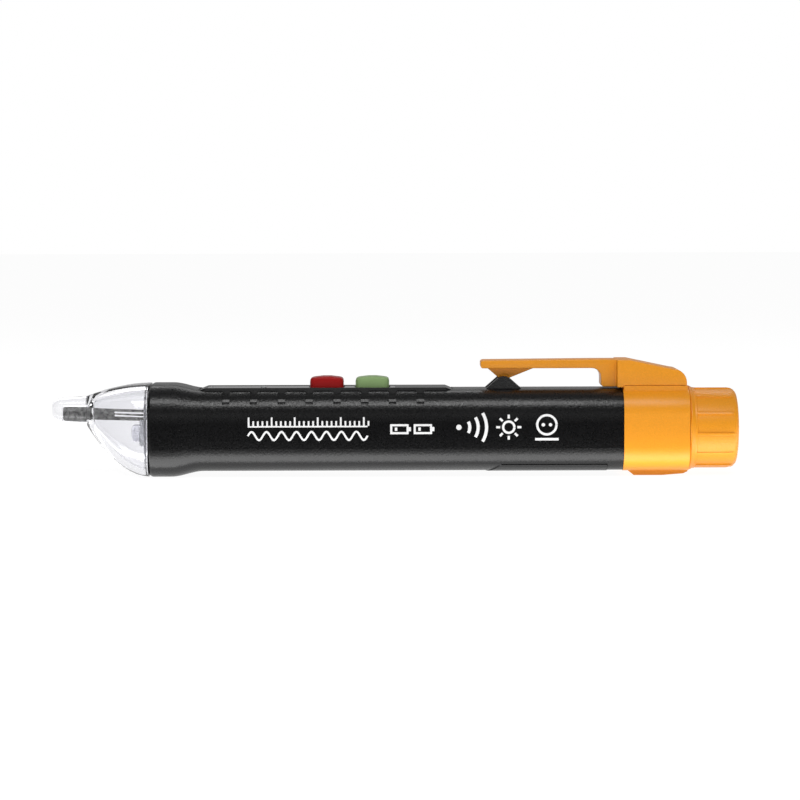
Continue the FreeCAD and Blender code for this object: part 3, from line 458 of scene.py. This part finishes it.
KEY_HALF_LONG, KEY_HALF_WIDE = 4.05, 3.1
KEY_CORNER = 1.2
KEY_BASE = 9.2
KEY_CROWN = 0.15                   # how far the middle rises over the CAD key
KEY_ARCH = 0.5                     # how far the ends drop below the middle
KEY_SHOULDER = 0.55


def make_key(node, body, slot):
    """Crowned key with rounded shoulders, arched along the pen."""
    low, high = millimetres(node)
    middle = (low.x + high.x) / 2
    top = high.z + KEY_CROWN

    def ring(inset, level):
        outline = rounded_ring(0, 0, KEY_HALF_LONG - inset, KEY_HALF_WIDE - inset,
                               max(0.25, KEY_CORNER - inset))
        made = []
        for point in outline:
            x, y = point.y / MM, (point.z - AXIS) / MM
            arch = KEY_ARCH * (x / KEY_HALF_LONG) ** 2
            drop = arch * (level - KEY_BASE) / (top - KEY_BASE)
            made.append(place(middle + x, y, level - drop))
        return made

    rings = [ring(0.0, level)
             for level in (KEY_BASE, KEY_BASE + 0.8, top - KEY_SHOULDER - 0.3)]
    for degrees in range(0, QUARTER + 1, 15):
        turn = math.radians(degrees)
        rings.append(ring(0.06 + KEY_SHOULDER * (1 - math.cos(turn)),
                          top - KEY_SHOULDER * (1 - math.sin(turn))))
    rings += [ring(inset, top) for inset in (1.4, 2.0, 2.6, 3.0)]
    key = skin(node.replace("button", "key"), rings, LOOKS[slot])
    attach(key, body)
    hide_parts(node)


# ------------------------------------------------------------------------------ pocket clip

def prism(name, outline, half_wide, material):
    """A closed prism: an outline of X and Z carried to both sides of the pen's middle."""
    count = len(outline)
    vertices = [place(x, side * half_wide, z) for side in (-1, 1) for x, z in outline]
    faces = [tuple(range(count)), tuple(reversed(range(count, 2 * count)))]
    for index in range(count):
        following = (index + 1) % count
        faces.append((index, index + count, following + count, following))
    thing = mesh_object(name, vertices, faces, material, smooth=False)
    outward(thing)
    return thing


def unite(first, second):
    """Join two closed meshes into one skin."""
    modifier = first.modifiers.new("join", "BOOLEAN")
    modifier.operation = "UNION"
    modifier.solver = "EXACT"
    modifier.object = second
    bake_modifiers(first)
    bpy.data.objects.remove(second)


def arc(centre_x, centre_z, radius, start, finish, steps):
    """Points of X and Z round a circle; angles in degrees from +X towards +Z."""
    points = []
    for step in range(steps + 1):
        angle = math.radians(start + (finish - start) * step / steps)
        points.append((centre_x + radius * math.cos(angle),
                       centre_z + radius * math.sin(angle)))
    return points


# heights, half widths and places along X of the clip's arm, block, nib and bend
ARM_UNDER = 14.7
ARM_HALF_WIDE, BLOCK_HALF_WIDE, NIB_HALF_WIDE = 3.6, 6.5, 1.75
CLIP_FOOT = 10.2
BLOCK_FOOT = 10.65
HINGE = 47.6
HOOK_RADIUS = 2.2
ARM_REAR = 54.6
NIB_LOW = 12.15
BEND_START, BEND_END, BEND_HEIGHT = 43.5, 49.8, 15.7
BEND_CUTS = (38.0, 41.0, 43.0, 44.5, 46.0, 47.0, 48.0, 49.0)


def cut_across(thing, places):
    """Cut a mesh across X at the given places."""
    work = bmesh.new()
    work.from_mesh(thing.data)
    for x in places:
        every = work.verts[:] + work.edges[:] + work.faces[:]
        bmesh.ops.bisect_plane(work, geom=every, plane_co=place(x, 0, 0),
                               plane_no=(1, 0, 0))
    work.to_mesh(thing.data)
    work.free()


def make_clip():
    """Clip in one moulding: springy arm with its nib, arched root and block."""
    orange = LOOKS["orange_housing"]
    top = millimetres("clip_base")[1].z
    tip = millimetres("clip_arm")[0].x
    # outlines as seen from the side, each point an X and a Z
    arm_outline = ([(tip, ARM_UNDER + 0.35), (tip + 0.3, ARM_UNDER)]
                   + arc(HINGE, ARM_UNDER - HOOK_RADIUS, HOOK_RADIUS, QUARTER, 0, 6)
                   + [(BEND_END, CLIP_FOOT + 0.5), (BEND_END + 0.3, CLIP_FOOT + 0.1),
                      (BEND_END + 0.7, CLIP_FOOT), (ARM_REAR, CLIP_FOOT), (ARM_REAR, top),
                      (HINGE, top), (tip + 0.4, top - 0.2), (tip, top - 0.6)])
    block_outline = ([(53.5, CLIP_FOOT), (53.5, top), (56.4, top), (67.0, 14.55)]
                     + arc(66.9, 11.3, 3.3, 72, 4, 6)
                     + [(70.25, BLOCK_FOOT), (55.1, BLOCK_FOOT), (55.1, CLIP_FOOT)])
    nib_outline = [(tip + 1.3, ARM_UNDER + 0.3), (tip + 4.6, NIB_LOW),
                   (tip + 6.6, NIB_LOW), (tip + 13.7, ARM_UNDER + 0.3)]
    clip = prism("pocket_clip", arm_outline, ARM_HALF_WIDE, orange)
    unite(clip, prism("block", block_outline, BLOCK_HALF_WIDE, orange))
    unite(clip, prism("nib", nib_outline, NIB_HALF_WIDE, orange))
    cut_across(clip, BEND_CUTS)
    soften(clip, 0.32, segments=3, angle=24)
    bake_modifiers(clip)
    for face in clip.data.polygons:
        face.use_smooth = True
    clip.data.set_sharp_from_angle(angle=math.radians(32))
    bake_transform(clip)
    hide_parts("clip_base", "clip_arm")


# --------------------------------------------------------------------------- printed marks

PRINT_SIDE = -9.8                  # Y of the barrel's flat side
INK_SUNK, INK_RAISED = 0.02, 0.05
BASE_LINE = (-35.0, -6.4)          # where the scale and the wave start and end
MARK_MIDDLE = 1.0                  # height of the waves and the lamp


class Print:
    """Thin raised ink on the flat side that faces -Y, drawn with strokes in X and Z."""

    def __init__(self, name):
        self.name = name
        self.mesh = bmesh.new()

    def ribbon(self, left, right):
        """A closed flat ribbon between two rows of points."""
        layers = []
        for y in (PRINT_SIDE + INK_SUNK, PRINT_SIDE - INK_RAISED):
            layers.append([[self.mesh.verts.new(place(x, y, z)) for x, z in row]
                           for row in (left, right)])
        back, front = layers
        last = len(left) - 1
        for index in range(last):
            a, b = index, index + 1
            self.mesh.faces.new((front[0][a], front[0][b], front[1][b], front[1][a]))
            self.mesh.faces.new((back[0][b], back[0][a], back[1][a], back[1][b]))
            self.mesh.faces.new((back[0][a], back[0][b], front[0][b], front[0][a]))
            self.mesh.faces.new((front[1][a], front[1][b], back[1][b], back[1][a]))
        self.mesh.faces.new((back[0][0], front[0][0], front[1][0], back[1][0]))
        self.mesh.faces.new((back[1][last], front[1][last], front[0][last], back[0][last]))

    def stroke(self, points, width):
        """Ink along a line of points, mitred at its bends."""
        left, right = [], []
        for index, point in enumerate(points):
            before = Vector(points[max(index - 1, 0)])
            after = Vector(points[min(index + 1, len(points) - 1)])
            here = Vector(point)
            first = (here - before).normalized() if index else (after - here).normalized()
            second = (after - here).normalized() if index < len(points) - 1 else first
            along = (first + second).normalized()
            across = Vector((-along.y, along.x))
            reach = width / 2 / max(0.5, along.dot(first))
            left.append(tuple(here + across * reach))
            right.append(tuple(here - across * reach))
        self.ribbon(left, right)

    def bar(self, x0, x1, z0, z1):
        """A filled rectangle."""
        self.ribbon([(x0, z0), (x1, z0)], [(x0, z1), (x1, z1)])

    def frame(self, x0, x1, z0, z1, width):
        """A rectangle's outline."""
        self.bar(x0, x1, z0, z0 + width)
        self.bar(x0, x1, z1 - width, z1)
        self.bar(x0, x0 + width, z0 + width, z1 - width)
        self.bar(x1 - width, x1, z0 + width, z1 - width)

    def curve(self, x, z, radius, start, finish, width, steps=16):
        """Part of a ring."""
        self.stroke(arc(x, z, radius, start, finish, steps), width)

    def dot(self, x, z, radius, steps=12):
        """A filled circle."""
        upper = arc(x, z, radius, 179, 1, steps)
        lower = arc(x, z, radius, 181, 359, steps)
        self.ribbon(lower, upper)

    def finish(self):
        """Put the ink on the barrel."""
        mesh = bpy.data.meshes.new(self.name)
        bmesh.ops.recalc_face_normals(self.mesh, faces=self.mesh.faces)
        self.mesh.to_mesh(mesh)
        self.mesh.free()
        mesh.materials.append(LOOKS["ink"])
        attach(add_to_scene(self.name, mesh), "housing")


def print_level_scale(ink):
    """A line with ticks, every fifth one taller."""
    start, end = BASE_LINE
    low, line_top, pitch, tick_wide = 1.1, 1.45, 1.1, 0.42
    ink.bar(start, end, low, line_top)
    for index in range(int((end - start) / pitch) + 1):
        x = start + index * pitch
        ink.bar(x, x + tick_wide, line_top, 3.5 if index % 5 == 0 else 2.6)


def print_wave(ink):
    """Alternating current under the scale."""
    start, end = BASE_LINE
    middle, height, cycles, steps_each, width = -0.95, 1.0, 8, 16, 0.46
    steps = cycles * steps_each
    points = []
    for step in range(steps + 1):
        share = step / steps
        points.append((mixed(start, end, share),
                       middle + height * math.sin(2 * math.pi * cycles * share)))
    ink.stroke(points, width)


def print_cells(ink):
    """Two battery cells end to end."""
    long, low, high, line = 4.4, -0.6, 1.8, 0.5
    for x in (-1.0, 4.6):
        ink.frame(x, x + long, low, high, line)
        ink.bar(x + long, x + long + 0.55, 0.1, 1.1)
        ink.bar(x + 1.1, x + 1.7, 0.2, 1.0)


def print_sensing(ink):
    """A point that sends out three waves."""
    x, half_angle = 15.4, 31
    ink.dot(x, MARK_MIDDLE, 0.65)
    for radius in (2.6, 4.6, 6.6):
        ink.curve(x, MARK_MIDDLE, radius, -half_angle, half_angle, 0.75)


def print_lamp(ink):
    """A lamp: a ring with rays."""
    x, line, rays = 27.3, 0.55, 8
    centre = Vector((x, MARK_MIDDLE))
    ink.curve(x, MARK_MIDDLE, 1.35, 0, 358, line, steps=28)
    for index in range(rays):
        angle = math.tau * index / rays
        way = Vector((math.cos(angle), math.sin(angle)))
        ink.stroke([tuple(centre + way * 2.05), tuple(centre + way * 3.0)], line)


def print_socket(ink):
    """A mains outlet: a ring round two holes, over a line for the wall."""
    x, z, line = 36.4, 1.55, 0.55
    ink.curve(x, z, 2.3, 0, 358, line, steps=32)
    for side in (-1, 1):
        ink.dot(x + side * 0.85, z, 0.42)
    ink.bar(x - 2.8, x + 2.8, -2.2, -1.6)


def make_print():
    """The side's generic marks in one row, without letters."""
    ink = Print("side_print")
    for draw in (print_level_scale, print_wave, print_cells, print_sensing, print_lamp,
                 print_socket):
        draw(ink)
    ink.finish()


# ---------------------------------------------------------------------------- stage, lights

def make_stage():
    """Pale, faintly glowing table top that runs far out of the picture."""
    far = 4
    look = Look("table_white", (0.12, 0.12, 0.12), 0.8, Specular_IOR_Level=0.0,
                Emission_Color=WHITE, Emission_Strength=0.95)
    floor = mesh_object("table_top", [(-far, -far, 0), (far, -far, 0), (far, far, 0),
                                      (-far, far, 0)], [(0, 1, 2, 3)], look.material)


def make_flag():
    """Low black card before the pen: only its reflection shows, and it keeps black deep."""
    y, low, high, half_long = -0.03, 0.001, 0.013, 0.3
    look = Look("flag_black", (0.01, 0.01, 0.01), 0.9)
    flag = mesh_object("flag", [(-half_long, y, low), (half_long, y, low),
                                (half_long, y, high), (-half_long, y, high)],
                       [(0, 1, 2, 3)], look.material)
    for ray in ("camera", "diffuse", "transmission", "shadow"):
        setattr(flag, "visible_" + ray, False)


def area_light(name, position, aim, size, power):
    """White rectangular light that the camera doesn't see."""
    data = bpy.data.lights.new(name, "AREA")
    data.shape = "RECTANGLE"
    data.size, data.size_y = size
    data.energy = power
    lamp = add_to_scene(name, data)
    lamp.location = position
    lamp.visible_camera = False
    direction = Vector(aim) - Vector(position)
    lamp.rotation_euler = direction.to_track_quat("-Z", "Y").to_euler()


def make_world():
    """White where it is seen, also through the nose; as light, dim towards the front."""
    world = bpy.data.worlds.new("studio")
    bpy.context.scene.world = world
    world.use_nodes = True
    tree = world.node_tree
    link = tree.links.new
    background = tree.nodes["Background"]
    background.inputs["Color"].default_value = WHITE
    direction = tree.nodes.new("ShaderNodeTexCoord")
    split = tree.nodes.new("ShaderNodeSeparateXYZ")
    link(direction.outputs["Generated"], split.inputs["Vector"])
    dim = tree.nodes.new("ShaderNodeMapRange")
    for name, number in (("From Min", -0.3), ("From Max", 1.0), ("To Min", 0.1),
                         ("To Max", 0.42)):
        dim.inputs[name].default_value = number
    link(split.outputs["Y"], dim.inputs["Value"])
    path = tree.nodes.new("ShaderNodeLightPath")
    seen = tree.nodes.new("ShaderNodeMath")
    seen.operation = "MAXIMUM"
    link(path.outputs["Is Camera Ray"], seen.inputs[0])
    link(path.outputs["Is Transmission Ray"], seen.inputs[1])
    mix = tree.nodes.new("ShaderNodeMix")
    link(seen.outputs["Value"], mix.inputs["Factor"])
    link(dim.outputs["Result"], mix.inputs["A"])
    mix.inputs["B"].default_value = 1.0
    link(mix.outputs["Result"], background.inputs["Strength"])


def make_lights():
    """Long soft boxes before and behind the pen, and low strips that lift its underside."""
    pen = (0, 0, 0)
    area_light("soft_box", (0.0, -0.46, 0.58), pen, (0.9, 0.18), 3.5)
    area_light("back_box", (0.0, 0.5, 0.53), pen, (0.9, 0.1), 0.9)
    for y in (-0.0138, 0.0138):
        area_light("low_strip", (0.0, y, 0.0006), (0, y, 1), (0.3, 0.0075), 0.0185)


# --------------------------------------------------------------------------------- camera

def make_camera():
    """Long lens, a little above the pen's axis, square to its side."""
    distance, elevation, roll = 0.63, math.radians(4.0), math.radians(-0.18)
    right, above = 1.36 * MM, 6.9 * MM
    data = bpy.data.cameras.new("camera")
    data.lens = 117.0
    data.clip_end = 20.0
    camera = add_to_scene("camera", data)
    aim = Vector(((cad_low.x + cad_high.x) / 2 + right, 0, AXIS + above))
    back = Vector((0, -math.cos(elevation), math.sin(elevation)))
    camera.location = aim + back * distance
    turn = (-back).to_track_quat("-Z", "Y").to_matrix() @ Matrix.Rotation(roll, 3, "Z")
    camera.rotation_euler = turn.to_euler()
    bpy.context.scene.camera = camera


dress_frame()
make_nose()
make_key("red_button", "power_key", "red_key")
make_key("green_button", "light_key", "green_key")
make_clip()
make_print()
make_stage()
make_world()
make_flag()
make_lights()
make_camera()
bpy.context.scene.view_settings.view_transform = "Standard"
